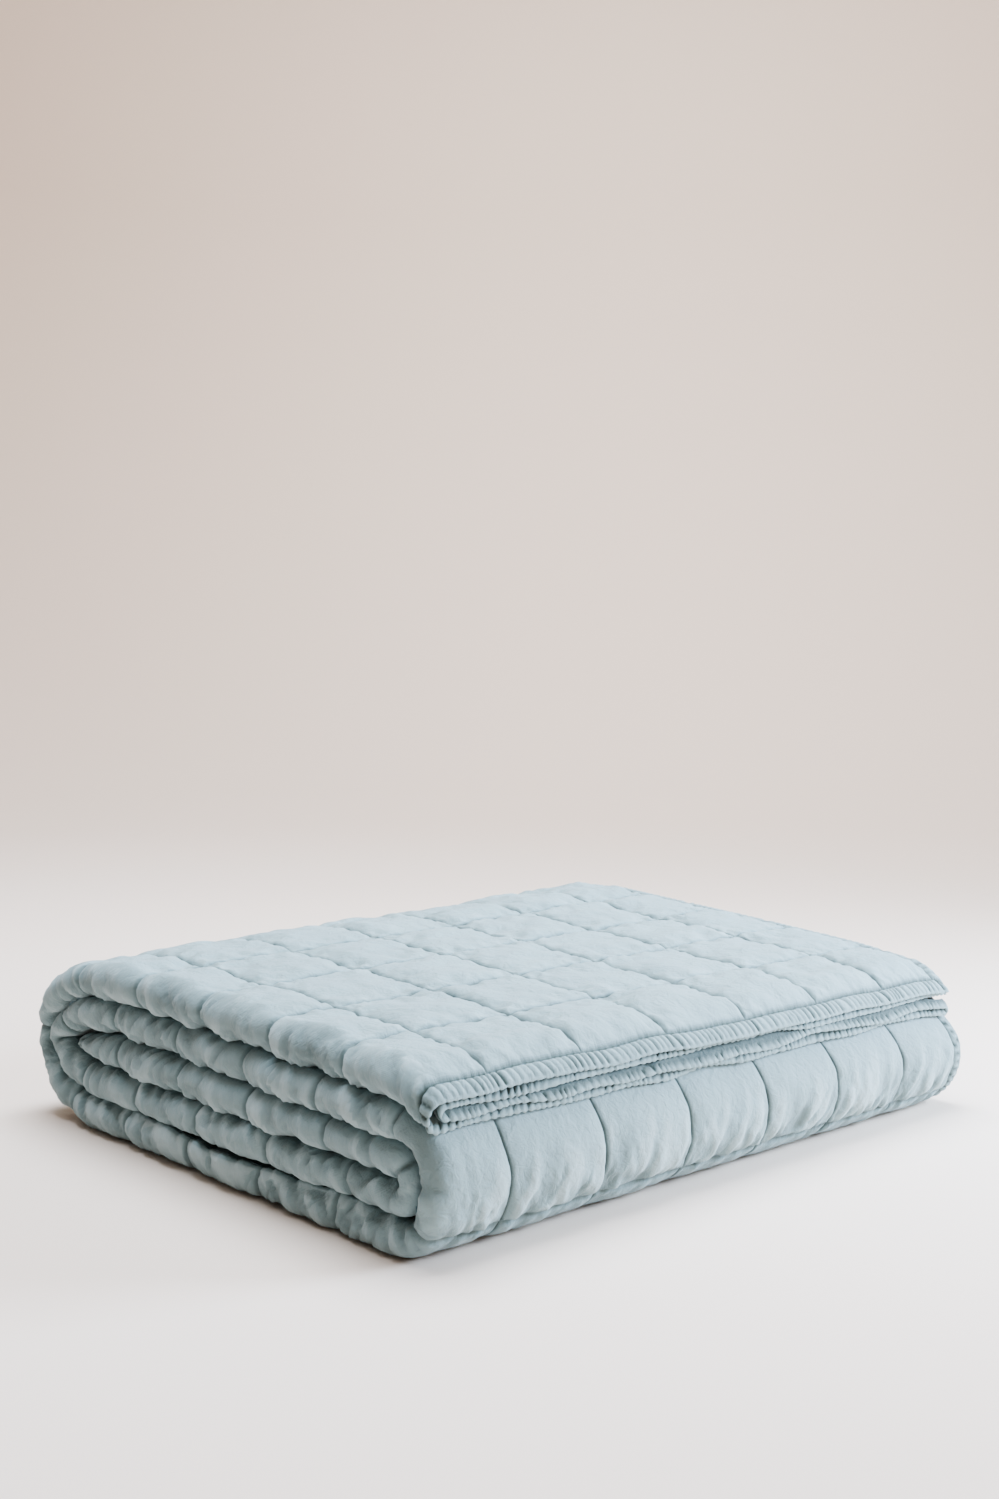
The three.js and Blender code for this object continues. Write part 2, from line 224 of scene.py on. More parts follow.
def arc(level, fold, start, end, strips_out=0):
    angle = np.radians(np.linspace(start, end, 61))
    normal_y, normal_z = np.cos(angle) / fold["reach"], np.sin(angle) / fold["rise"]
    size = np.hypot(normal_y, normal_z)
    normal_y, normal_z = normal_y / size, normal_z / size
    offset = strips_out * LEVEL_PITCH * (1 - FOLD_CLOSER * normal_y**2)
    y = fold["y"] + fold["reach"] * np.cos(angle) + offset * normal_y
    z = fold["z"] + fold["rise"] * np.sin(angle) + offset * normal_z
    return np.column_stack([y, z, np.full_like(y, LEVELS.index(level))])


def straight(level, start, end, count):
    y = np.linspace(start, end, 121)[1:-1]
    return np.column_stack([y, np.full_like(y, (count - 0.5) * LEVEL_PITCH),
                            np.full_like(y, LEVELS.index(level))])


route = np.concatenate([
    arc("top edge", FRONT_FOLD, 90 + HANG_OVER_ANGLE, 90, 1),
    straight("top", FRONT_FOLD["y"], BACK_FOLD_TOP["y"], 5),
    arc("back fold", BACK_FOLD_TOP, 90, 0),
    arc("back fold", BACK_FOLD_FOOT, 0, -90)[1:],
    straight("bottom", BACK_FOLD_FOOT["y"], FRONT_FOLD["y"], 1),
    arc("front fold", FRONT_FOLD, 270, 90),
    straight("fourth", FRONT_FOLD["y"], BACK_FOLD_TOP["y"], 4),
    arc("inner back fold", BACK_FOLD_TOP, 90, 0, -1),
    arc("inner back fold", BACK_FOLD_FOOT, 0, -90, -1)[1:],
    straight("second", BACK_FOLD_FOOT["y"], INNER_FRONT_FOLD["y"], 2),
    arc("inner front fold", INNER_FRONT_FOLD, 270, 90),
    straight("third", INNER_FRONT_FOLD["y"], 2 * INNER_END_Y - INNER_FRONT_FOLD["y"], 3)[:60],
])
route_steps = np.hypot(*np.diff(route[:, :2], axis=0).T)
route_length = np.concatenate([[0], np.cumsum(route_steps)])
ALONG_END = route_length[-1]
route_along = np.gradient(route[:, :2], axis=0)
route_heading = np.unwrap(np.arctan2(route_along[:, 1], route_along[:, 0]))


def level_of(along):
    return np.interp(along, route_length, route[:, 2])


def is_level(along, *names):
    level = np.rint(level_of(along))
    return np.isin(level, [LEVELS.index(name) for name in names])


def seam_place(row):
    on_level = np.nonzero(route[:, 2] == LEVELS.index(row["level"]))[0]
    nearest = on_level[np.argmin(np.abs(route[on_level, 0] - row["y"] * SQUARE))]
    return route_length[nearest]


seam_marks = [(0, 0), *((row["seam"], seam_place(row)) for row in SEAMS_SEEN)]
seam_along = np.interp(np.arange(1, SQUARES_ALONG), *np.array(seam_marks[1:]).T)
seam_along = np.concatenate([[0], seam_along, [ALONG_END]])

ribbon_spans = {}
ribbon_start = 0
for name, size in (("first layer", RIGHT_EDGE_TOP), ("left fold", np.pi * 1.5 * LAYER_PITCH),
                   ("fourth layer", RIGHT_FOLD), ("right fold", np.pi * 0.5 * LAYER_PITCH),
                   ("third layer", RIGHT_FOLD - INNER_LEFT_FOLD),
                   ("inner left fold", np.pi * 0.5 * LAYER_PITCH),
                   ("second layer", RIGHT_EDGE_SECOND - INNER_LEFT_FOLD)):
    ribbon_spans[name] = (ribbon_start, ribbon_start + size)
    ribbon_start += size
ACROSS_END = ribbon_start
LEFT_FOLD_START, LEFT_FOLD_END = ribbon_spans["left fold"]
RIGHT_FOLD_START, RIGHT_FOLD_END = ribbon_spans["right fold"]
seam_across = EDGE_STRIP + SQUARE * np.arange(7)
hidden_squares = SQUARES_ACROSS - 8
seam_across = np.concatenate([[0], seam_across, np.linspace(seam_across[-1], ACROSS_END - EDGE_STRIP,
                                                            hidden_squares + 1)[1:], [ACROSS_END]])


def ribbon_at(across):
    """The strip's section: x, height in the strip, and which way the cloth's face looks."""
    x, n, face_x, face_n = (np.zeros_like(across) for _ in range(4))
    lines = (("first layer", RIGHT_EDGE_TOP, 0, 1.5, 1), ("fourth layer", 0, RIGHT_FOLD, -1.5, -1),
             ("third layer", RIGHT_FOLD, INNER_LEFT_FOLD, -0.5, 1),
             ("second layer", INNER_LEFT_FOLD, RIGHT_EDGE_SECOND, 0.5, -1))
    folds = (("left fold", 0, 0, 1.5, 90, 270), ("right fold", RIGHT_FOLD, -1, 0.5, -90, 90),
             ("inner left fold", INNER_LEFT_FOLD, 0, 0.5, 270, 90))
    for name, start_x, end_x, layer, facing in lines:
        start, end = ribbon_spans[name]
        on = (across >= start) & (across <= end)
        x[on] = start_x + (end_x - start_x) * (across[on] - start) / (end - start)
        n[on] = layer * LAYER_PITCH
        face_n[on] = facing
    for name, centre_x, centre_n, radius, start_angle, end_angle in folds:
        start, end = ribbon_spans[name]
        on = (across > start) & (across < end)
        share = (across[on] - start) / (end - start)
        angle = np.radians(start_angle + (end_angle - start_angle) * share)
        facing = np.sign(end_angle - start_angle)
        x[on] = centre_x + radius * LAYER_PITCH * np.cos(angle)
        n[on] = (centre_n + radius * np.sin(angle)) * LAYER_PITCH
        face_x[on] = facing * np.cos(angle)
        face_n[on] = facing * np.sin(angle)
    return x, n, face_x, face_n


# How the stack has sunk, from front to back, how far its near corner is drawn in and how it leans
STACK_HEIGHT = {"y": (0, 222, 392, 526), "share": (0.915, 0.995, 1.05, 1.0), "twist": 5e-7}
STACK_CORNER_IN = 14
STACK_SWAY = 2.2


def settle(x, y, z):
    """The gentle unevenness of the whole stack, with its base left flat."""
    base = 0.5 * LEVEL_PITCH - 1.5 * LAYER_PITCH - HALF_THICKNESS
    z = np.maximum(0, z - base)
    height = np.interp(y, STACK_HEIGHT["y"], STACK_HEIGHT["share"])
    height = height + STACK_HEIGHT["twist"] * (x - 275) * (y - 150)
    corner = (1 - smooth(0, 120, y)) * smooth(60, 110, z)
    sway = STACK_SWAY * smooth(0, 20, z) * np.sin(0.011 * y + 0.045 * z)
    return x * (1 - STACK_CORNER_IN * corner / RIGHT_EDGE_TOP) + sway, y, z * height


# The cover
# Its face is pinched to the seams and full between them where it is free to rise, and pressed flat
# where it is covered. The edge is turned in and topstitched, so it is rounded, firm and puckered.
PILLOW_RISE = 4.7
PILLOW_FLATNESS = 0.48
PILLOW_UNEVENNESS = 0.22
PUCKER_RISE = 0.8
SEAM_ROOM = 0.35
SEAM_GROOVE = {"depth": 1.9, "half_width": 1.5}
# Painted shade in the seams, the wrinkles' troughs and the gaps between the layers
SEAM_SHADE = {"along": 1.1, "across": 2.0, "strength": 0.6, "uneven": 0.25, "long": 7}
TROUGH_SHADE = 0.16
BETWEEN_LAYERS_SHADE = 0.7
# The ridges are painted lighter: partly wear, partly painted highlight
RIDGE_WEAR_AND_HIGHLIGHT = 0.05
# Half the hem's thickness at each distance in from its edge
HEM_SECTION = ((0, 0), (0.8, 1.3), (2.2, 2.0), (4.1, 2.45), (6.5, 2.6), (9, 2.3), (HEM_WIDTH, 1.6))
HEM_COVERED_HALF = 1.9
HEM_PUCKER = {"period": 6.4, "half_width": 1.35, "depth": 2.1, "slant": -0.35, "swell": 0.3,
              "even": 0.8, "uneven": 0.35, "scallop": 0.6, "shade": 1.1}
LEFT_SIDE = {"seam": 2.2, "rise": 4.2, "flatness": 0.34, "uneven": 0.13, "puckers": 0.6, "tuck": 2.0,
             "flutes": 1.5, "seam_flutes": 0.25, "middle_flutes": 0.5, "lower_flutes": 1.2}
# Round the back fold, the left side's seams are pulled shallower than elsewhere
BACK_SEAMS = {"from": (410, 440), "to": (650, 690), "lift": 1.8}
# Under the last seam, the bottom level's left side is rolled up against the level above it
ROLLED_STRIP = {"height": 9.0, "beyond": 4, "half_width": 8, "from": (650, 740), "to": (1000, 1050)}
# The cloth thins and slips towards its two ends, where it is held less
END_REACH = 70
END_THINNING = 0.4
END_SLIP = {"top": 0.85, "top_reach": 110, "inner": -0.3}
PULL_REACH = {"along": 11, "across": 9, "front": 9}
FRONT_DENTS = 0.35
CREASE_LINE_WIDTH = 0.16
CREASE_WANDER = {"height": 0.8, "long": 9}
REFINING_PASSES = 7
# Kinds of wrinkle, each a noise: how high it stands, how wide and long it is in millimetres, how far
# it leans as it runs, how far it skews, and its seed. Those named patches say where lines are kept.
WRINKLES = {
    "sway": {"height": 4, "wide": 60, "long": 45, "lean": 0, "skew": 0, "seed": 11},
    "wide dent": {"height": 1.9, "wide": 34, "long": 26, "lean": 0, "skew": 0, "seed": 12},
    "small dent": {"height": 0.9, "wide": 14, "long": 11, "lean": 0, "skew": 0, "seed": 13},
    "pull along": {"height": 1.2, "wide": 6.5, "long": 24, "lean": 0.5, "skew": 0, "seed": 14},
    "pull across": {"height": 1, "wide": 22, "long": 7.5, "lean": 0, "skew": 0.4, "seed": 15},
    "top line": {"height": 0.8, "wide": 21, "long": 26, "lean": 0, "skew": 0.5, "seed": 29},
    "top line patches": {"height": 1, "wide": 55, "long": 43, "lean": 0, "skew": 0, "seed": 30},
    "front drag": {"height": 2.7, "wide": 8.5, "long": 55, "lean": 0.35, "skew": 0, "seed": 16},
    "front crumple": {"height": 1.6, "wide": 6, "long": 17, "lean": -0.3, "skew": 0, "seed": 17},
    "front crinkle": {"height": 2.8, "wide": 5.5, "long": 13, "lean": 0.4, "skew": 0, "seed": 25},
    "front line": {"height": 2.3, "wide": 17, "long": 48, "lean": 0.6, "skew": 0, "seed": 27},
    "front line patches": {"height": 1, "wide": 37, "long": 40, "lean": 0, "skew": 0, "seed": 28},
    "flute": {"height": 1, "wide": 6.2, "long": 19, "lean": 0.7, "skew": 0, "seed": 18},
    "broad flute": {"height": 0.6, "wide": 13, "long": 30, "lean": 1, "skew": 0, "seed": 23},
    "counter flute": {"height": 0.6, "wide": 8, "long": 16, "lean": -0.5, "skew": 0, "seed": 24},
    "flute line": {"height": 1.4, "wide": 12, "long": 22, "lean": 1.1, "skew": 0, "seed": 33},
    "flute line patches": {"height": 1, "wide": 31, "long": 60, "lean": 0, "skew": 0, "seed": 34},
    "counter line": {"height": 1.4, "wide": 11, "long": 19, "lean": -0.8, "skew": 0, "seed": 35},
    "counter line patches": {"height": 1, "wide": 27, "long": 60, "lean": 0, "skew": 0, "seed": 36},
    "rolled strip": {"height": 0.3, "wide": 5, "long": 12, "lean": 0, "skew": 0, "seed": 26},
    "hem sway": {"height": 3.5, "wide": 17, "long": 30, "lean": 0, "skew": 0, "seed": 8},
}
# How far the layers' ends lie back from the top one's, and how far they wander and lift, in millimetres
END_LAYERS = [
    {"layer": "first layer", "back": 0.0, "wander": 1.6, "lift": 0.5},
    {"layer": "fourth layer", "back": -0.8, "wander": 2.2, "lift": 1.0},
    {"layer": "third layer", "back": -2.4, "wander": 2.6, "lift": 1.1},
    {"layer": "second layer", "back": 2.2, "wander": 2.2, "lift": 1.1},
]
# Creases, placed on the flat cloth: where the middle of each lies, how long and wide it is,
# which way it runs (0 is across), how far it bends and how far it rises or, if negative, sinks
CREASES = [dict(zip(("across", "along", "length", "width", "turn", "bend", "rise"), row)) for row in (
    (563, 1113, 80, 2, 93, 4, 1.5),
    (567, 1113, 80, 2.4, 93, 4, -0.9),
    (22, 1106, 52, 2.2, 52, 2, -1.4),
    (598, 487, 36, 2.3, 4, 2, -2.6),
    (598, 515, 36, 2.3, -6, -1, -2.6),
    (598, 1640, 32, 2.3, 5, 1, -2.4),
    (595, 1578, 34, 2.3, 30, 2, -2.4),
    (594, 401, 30, 2.2, -66, 3, -2),
    (592, 314, 24, 2, -60, 3, -1.6),
    (593, 208, 26, 2.2, -56, 3, -1.8),
    (594, 134, 34, 2.6, -64, 4, -2.6),
    (597, 152, 26, 2.2, -58, 3, -2),
    (590, 33, 26, 2.2, -50, 2, -1.6),
    (600, 1707, 26, 2.3, 0, 0, -2.2),
    (602, 1724, 26, 2.3, 8, 0, -2.2),
    (600, 2070, 42, 4, 62, 0, -3.2),
    (603, 2086, 42, 2.6, 60, 0, 2.2),
    (598, 2102, 24, 2.2, 30, 0, -2.8),
    (598, 2114, 22, 2.2, -30, 0, -2.6),
    (596, 2164, 36, 3.5, -20, 2, -3.6),
    (596, 2173, 34, 2.6, -20, 2, 2),
    (597, 1132, 56, 11, 90, 3, -6.5),
    (598, 1115, 28, 2, 34, 2, -2.8),
    (609, 1049, 28, 2.3, 0, 0, -2.8),
    (605, 1064, 24, 2.3, 6, 0, -2.4),
    (594, 1190, 28, 2.4, -20, 2, -2.2),
    (529, 32, 36, 5, 118, 3, -1.8),
    (470, 22, 40, 5, 150, 3, -1.5),
)]
# How far the cloth has slid towards the right on each level, in millimetres
SLIDES = [
    {"level": "top edge", "right": 0},
    {"level": "top", "right": 0},
    {"level": "back fold", "right": 3},
    {"level": "bottom", "right": 16},
    {"level": "front fold", "right": 6},
    {"level": "fourth", "right": 2},
    {"level": "third", "right": 0},
]


SLIDE_EASES_RIGHT = (60, 420)
SLIDE_EASES_LEFT = (LEFT_FOLD_END + 60, RIGHT_FOLD_START - 60)


def strip_mm(count, strip):
    """Across an edge strip: the hem first, and then the last row of squares."""
    in_hem = np.clip(count / HEM_SHARE, 0, 1) ** 1.3 * HEM_WIDTH
    beyond = np.clip((count - HEM_SHARE) / (1 - HEM_SHARE), 0, 1)
    return in_hem + to_seams(beyond) * (strip - HEM_WIDTH)


def to_mm(count, seams):
    """From squares to millimetres, along either way of the panel."""
    last = len(seams) - 2
    inner = np.interp(to_seams(count), np.arange(len(seams)), seams)
    near = strip_mm(count, seams[1])
    far = seams[-1] - strip_mm(len(seams) - 1 - count, seams[-1] - seams[-2])
    return np.where(count < 1, near, np.where(count > last, far, inner))


def panel_place(count, squares):
    """Where in the simulated panel a place lies, with the hem left out of its first and last square."""
    beyond = np.clip((count - HEM_SHARE) / (1 - HEM_SHARE), 0, 1)
    far = squares - np.clip((squares - count - HEM_SHARE) / (1 - HEM_SHARE), 0, 1)
    return np.where(count < 1, beyond, np.where(count > squares - 1, far, count))


def openness(along, heading):
    """How free the outermost face is to rise along the route: 1 on top, less where it is covered."""
    up = np.cos(heading)
    outer = np.clip(2 * (1 + up), 0, 1) * is_level(along, "top edge", "top", "back fold")
    in_front = np.clip(np.where(up < 0, 1.6 - 1.6 * up**2, 1 - 1.5 * up**2), 0, 1)
    return outer + in_front * is_level(along, "front fold")


slide_along = [seam_along[0]]
slide_right = [0]
for row in SLIDES:
    on_level = np.nonzero(route[:, 2] == LEVELS.index(row["level"]))[0]
    slide_along.append(route_length[on_level].mean())
    slide_right.append(row["right"])


def hem_half(inset):
    return np.interp(inset, *np.array(HEM_SECTION).T)


def to_nearest(place, seams):
    """How far the nearest seam is, in millimetres."""
    right = np.clip(np.searchsorted(seams, place), 1, len(seams) - 1)
    return np.minimum(np.abs(place - seams[right - 1]), np.abs(seams[right] - place))


def stretched_noise(kind, first, second):
    """A wrinkle's noise. It is wide the first way and long the second."""
    row = WRINKLES[kind]
    return noise((first + row["lean"] * second) / row["wide"], (second + row["skew"] * first) / row["long"],
                 row["seed"])


def wrinkle(kind, first, second):
    return WRINKLES[kind]["height"] * stretched_noise(kind, first, second)


def wrinkle_line(kind, first, second):
    """Thin creases along the lines where a wrinkle's noise is zero, kept where its patches are high."""
    line = np.exp(-(stretched_noise(kind, first, second) / CREASE_LINE_WIDTH)**2)
    kept = smooth(-0.1, 0.5, stretched_noise(kind + " patches", first, second))
    return WRINKLES[kind]["height"] * line * kept


def wrinkles(across, along):
    """The free face's soft dents and its sharper wrinkles, in millimetres: drawn towards the seams, and
    down the front."""
    to_across, to_along = to_nearest(across, seam_across), to_nearest(along, seam_along)
    sway = wrinkle("sway", across, along)
    dents = wrinkle("wide dent", across + sway, along) + wrinkle("small dent", across, along + sway)
    pulls = np.exp(-to_along / PULL_REACH["along"]) * wrinkle("pull along", across, along)
    pulls += np.exp(-to_across / PULL_REACH["across"]) * wrinkle("pull across", across, along)
    pulls -= wrinkle_line("top line", across, along)
    front = is_level(along, "front fold")
    on_front = np.nonzero(route[:, 2] == LEVELS.index("front fold"))[0]
    front_start, front_end = route_length[on_front[[0, -1]]]
    low = 1 - smooth(0.25, 0.8, (along - front_start) / (front_end - front_start))
    drags = low * wrinkle("front drag", across + sway, along)
    drags += low**2 * wrinkle("front crumple", across, along)
    drags -= low * wrinkle_line("front line", across, along)
    drags += np.exp(-to_along / PULL_REACH["front"]) * wrinkle("front crinkle", across, along)
    return dents * np.where(front, FRONT_DENTS, 1), np.where(front, drags, pulls)


def flutes(across, along):
    """Slanted wrinkles over the folded side, in millimetres, deepest towards the band's two edges."""
    share = (across - LEFT_FOLD_START) / (LEFT_FOLD_END - LEFT_FOLD_START)
    lower, upper = smooth(0.4, 0.85, share), 1 - smooth(0.1, 0.5, share)
    slanted = wrinkle("flute", along, across) + wrinkle("broad flute", along, across)
    slanted *= LEFT_SIDE["middle_flutes"] + LEFT_SIDE["lower_flutes"] * lower
    counter = upper * wrinkle("counter flute", along, across)
    lines = wrinkle_line("flute line", along, across) + wrinkle_line("counter line", along, across)
    return LEFT_SIDE["flutes"] * (slanted + counter - lines)


def crease_depth(across, along):
    """The creases that the photograph shows, each a soft trough or ridge along a slightly bent line."""
    depth = np.zeros_like(across)
    for crease in CREASES:
        turn = np.radians(crease["turn"])
        right, up = across - crease["across"], along - crease["along"]
        down_line = right * np.cos(turn) + up * np.sin(turn)
        bend = crease["bend"] * (down_line / crease["length"])**2
        wander = CREASE_WANDER["height"] * noise(down_line / CREASE_WANDER["long"],
                                                 crease["across"] + 0 * down_line, 21)
        off_line = up * np.cos(turn) - right * np.sin(turn) + bend + wander
        ends = np.clip(1 - (2 * down_line / crease["length"])**2, 0, 1)
        depth += crease["rise"] * ends**0.7 * np.exp(-(off_line / crease["width"])**2)
    return depth


def cover_point(u, v, side):
    """From a place on the flat panel, in squares, to the folded cover. Side is 1 on the face of the
    cloth, -1 on its back and 0 on the edge itself. The fourth value is painted shade, and below zero
    the ridges' painted lightening, partly wear and partly highlight."""
    across, along = to_mm(u, seam_across), to_mm(v, seam_along)
    panel_u, panel_v = panel_place(u, SQUARES_ACROSS), panel_place(v, SQUARES_ALONG)
    moved = between_rows(puckers[:-1, :-1], panel_u * PANEL_POINTS, panel_v * PANEL_POINTS)
    pillow = between_rows(pillow_shape, panel_u * PANEL_POINTS, panel_v * PANEL_POINTS)
    pillow = np.clip(pillow, 0, 1) ** PILLOW_FLATNESS
    pillow *= 1 + PILLOW_UNEVENNESS * noise(np.floor(u) + 0.5, np.floor(v) + 0.5, 9)
    heading = np.interp(along, route_length, route_heading)
    inset_across = np.minimum(across, ACROSS_END - across)
    inset_along = np.minimum(along, ALONG_END - along)
    inset = np.minimum(inset_across, inset_along)
    clear_of_hem = smooth(HEM_WIDTH, HEM_WIDTH + 6, inset)
    to_across, to_along = to_nearest(across, seam_across), to_nearest(along, seam_along)

    slid = np.interp(along, slide_along, slide_right) * smooth(*SLIDE_EASES_RIGHT, across)
    slid *= 1 - smooth(*SLIDE_EASES_LEFT, across)
    x, n, face_x, face_n = ribbon_at(across - slid)
    first_layer = (across - slid < LEFT_FOLD_START) * 1.0
    on_fold = ((across - slid >= LEFT_FOLD_START) & (across - slid <= LEFT_FOLD_END)) * 1.0
    open_out = openness(along, heading)
    aside = np.abs(face_x) ** 1.2
    free = first_layer * open_out + on_fold * (aside + (1 - aside) * (face_n > 0) * open_out)
    free = free * (side > 0)

    # Thickness on this side of the cloth
    covered = HALF_THICKNESS - (HALF_THICKNESS - HEM_COVERED_HALF) * (1 - clear_of_hem)
    out_of_hem = np.where(inset < HEM_WIDTH, np.inf, 0)
    to_across, to_along = to_across + out_of_hem, to_along + out_of_hem
    to_stitching = np.minimum(np.minimum(to_across, to_along), np.abs(inset - HEM_WIDTH))
    groove = SEAM_GROOVE["depth"] * np.exp(-(to_stitching / SEAM_GROOVE["half_width"])**2)
    bare = SEAM_HALF_THICKNESS + PILLOW_RISE * pillow + PUCKER_RISE * moved[:, 2] - groove
    creases = crease_depth(across, along)
    dents, sharp = wrinkles(across, along)
    room = np.minimum(1, SEAM_ROOM + pillow)
    relief = (sharp * clear_of_hem + creases) * room
    bare += relief + dents * clear_of_hem * room

    # Thickness round the folded left side
    band = swell(to_seams(panel_v)) ** LEFT_SIDE["flatness"]
    band = band * (1 + LEFT_SIDE["uneven"] * noise(np.floor(v) + 0.5, 0 * v, 10))
    lift = BACK_SEAMS["lift"] * smooth(*BACK_SEAMS["from"], along) * (1 - smooth(*BACK_SEAMS["to"], along))
    at_side = LEFT_SIDE["seam"] + lift + (LEFT_SIDE["rise"] - lift) * band
    at_side = at_side - groove + LEFT_SIDE["puckers"] * moved[:, 2]
    bare = bare + (at_side - bare) * on_fold * np.sqrt(np.abs(face_x))
    from_roll = across - seam_across[7] - ROLLED_STRIP["beyond"]
    rolled = ROLLED_STRIP["height"] * np.exp(-(from_roll / ROLLED_STRIP["half_width"])**2)
    rolled *= smooth(*ROLLED_STRIP["from"], along) * (1 - smooth(*ROLLED_STRIP["to"], along))
    rolled *= (1 + wrinkle("rolled strip", along, across)) * (1 - 0.5 * groove / SEAM_GROOVE["depth"])
    relief_aside = (LEFT_SIDE["seam_flutes"] + band) * flutes(across - slid, along) + creases + rolled
    half = covered + (bare - covered) * free + relief_aside * on_fold * np.abs(face_x)**0.4 * (side > 0)
    relief = np.where(on_fold > 0, relief_aside, relief * open_out)

    # The hem and its puckers
    travel = np.where(inset_across < inset_along, along, across)
    phase = travel + HEM_PUCKER["slant"] * inset + wrinkle("hem sway", travel, inset)
    count = phase / HEM_PUCKER["period"]
    to_valley = np.abs(count - np.rint(count)) * HEM_PUCKER["period"]
    valley = np.exp(-(to_valley / HEM_PUCKER["half_width"])**2)
    valley *= HEM_PUCKER["even"] + HEM_PUCKER["uneven"] * noise(np.rint(count), 0 * count, 19)
    ripple = HEM_PUCKER["swell"] - valley
    half = np.where(inset < HEM_WIDTH, hem_half(inset) - groove * (inset > 6), half)
    in_hem = smooth(0, 2, inset) * (1 - smooth(HEM_WIDTH - 2, HEM_WIDTH + 3, inset))
    half = half + np.abs(side) * HEM_PUCKER["depth"] * ripple * in_hem
    half = np.maximum(half, 0.3 * np.abs(side)) * side

    # Fold, with the seams drawing the folds in at both sides
    cosine, sine = np.cos(heading), np.sin(heading)
    y = np.interp(along, route_length, route[:, 0])
    z = np.interp(along, route_length, route[:, 1])
    near_start = 1 - smooth(0, END_REACH, along)
    near_end = 1 - smooth(0, END_REACH, ALONG_END - along)
    taper = (1 - FOLD_SQUEEZE * sine**2) * (1 - END_THINNING * near_end)
    slip = END_SLIP["top"] * (1 - smooth(0, END_SLIP["top_reach"], along)) + END_SLIP["inner"] * near_end
    tuck = LEFT_SIDE["tuck"] * (1 - swell(to_seams(panel_v)))
    x = x + tuck * (1 - smooth(0, 60, x)) - 0.5 * tuck * smooth(540, 590, x) + half * face_x
    back, lift = layer_ends(across)
    n = (n + half * face_n) * taper + lift * near_start
    scallop = HEM_PUCKER["scallop"] * ripple * (1 - smooth(0, 3, inset_along)) * (along < ALONG_END / 2)
    shift_across = moved[:, 0] * free * 0.5
    shift_along = moved[:, 1] * free * 0.5 + (back - scallop) * near_start
    x = x - shift_across * np.abs(face_n)
    y = y - n * sine + (slip * n + shift_along) * cosine
    z = z + n * cosine + (slip * n + shift_along) * sine
    x, y, z = settle(x, y, z)

    # Painted shade: darkest in the seams, the puckers and the gaps between the layers, and in the troughs,
    # while the ridges are painted a little lighter, partly wear and partly highlight
    line_across = np.exp(-(to_along / SEAM_SHADE["across"])**2)
    patchy = noise(across / SEAM_SHADE["long"], along, 22)
    line_across *= SEAM_SHADE["strength"] + SEAM_SHADE["uneven"] * patchy
    line_along = np.exp(-(np.minimum(to_across, np.abs(inset - HEM_WIDTH)) / SEAM_SHADE["along"])**2)
    shade = np.maximum(np.maximum(line_along, line_across), HEM_PUCKER["shade"] * valley * in_hem)
    outer = (side > 0) & (across < LEFT_FOLD_END)
    between = smooth(1, 4, inset_along) * (1 - smooth(30, 60, along)) * (1 - outer)
    shade = np.maximum(shade, BETWEEN_LAYERS_SHADE * between)
    shade = np.maximum(shade, TROUGH_SHADE * np.clip(-relief, 0, 2)) - RIDGE_WEAR_AND_HIGHLIGHT * np.clip(relief, 0, 1)
    return np.column_stack([x - STACK_CENTRE[0], y - STACK_CENTRE[1], z, 1000 * shade]) / 1000


def layer_ends(across):
    """How far back each layer's end lies along the route, and how far it is lifted, in millimetres."""
    centres = [sum(ribbon_spans[row["layer"]]) / 2 for row in END_LAYERS]
    back, wander, lift = (np.interp(across, centres, [row[field] for row in END_LAYERS])
                          for field in ("back", "wander", "lift"))
    back = back + wander * noise(across / 46, 0 * across, 31)
    return back, lift * noise(across / 38, 0 * across, 32)


# The mesh's steps over the cloth, in millimetres, and how near a seam the finest ones lie
FINEST, FINE, MEDIUM, COARSE, LONG, WIDEST = 1.5, 3, 6, 12, 24, 50
BESIDE_SEAM = 2.2
LOW_FRONT_END = 1105


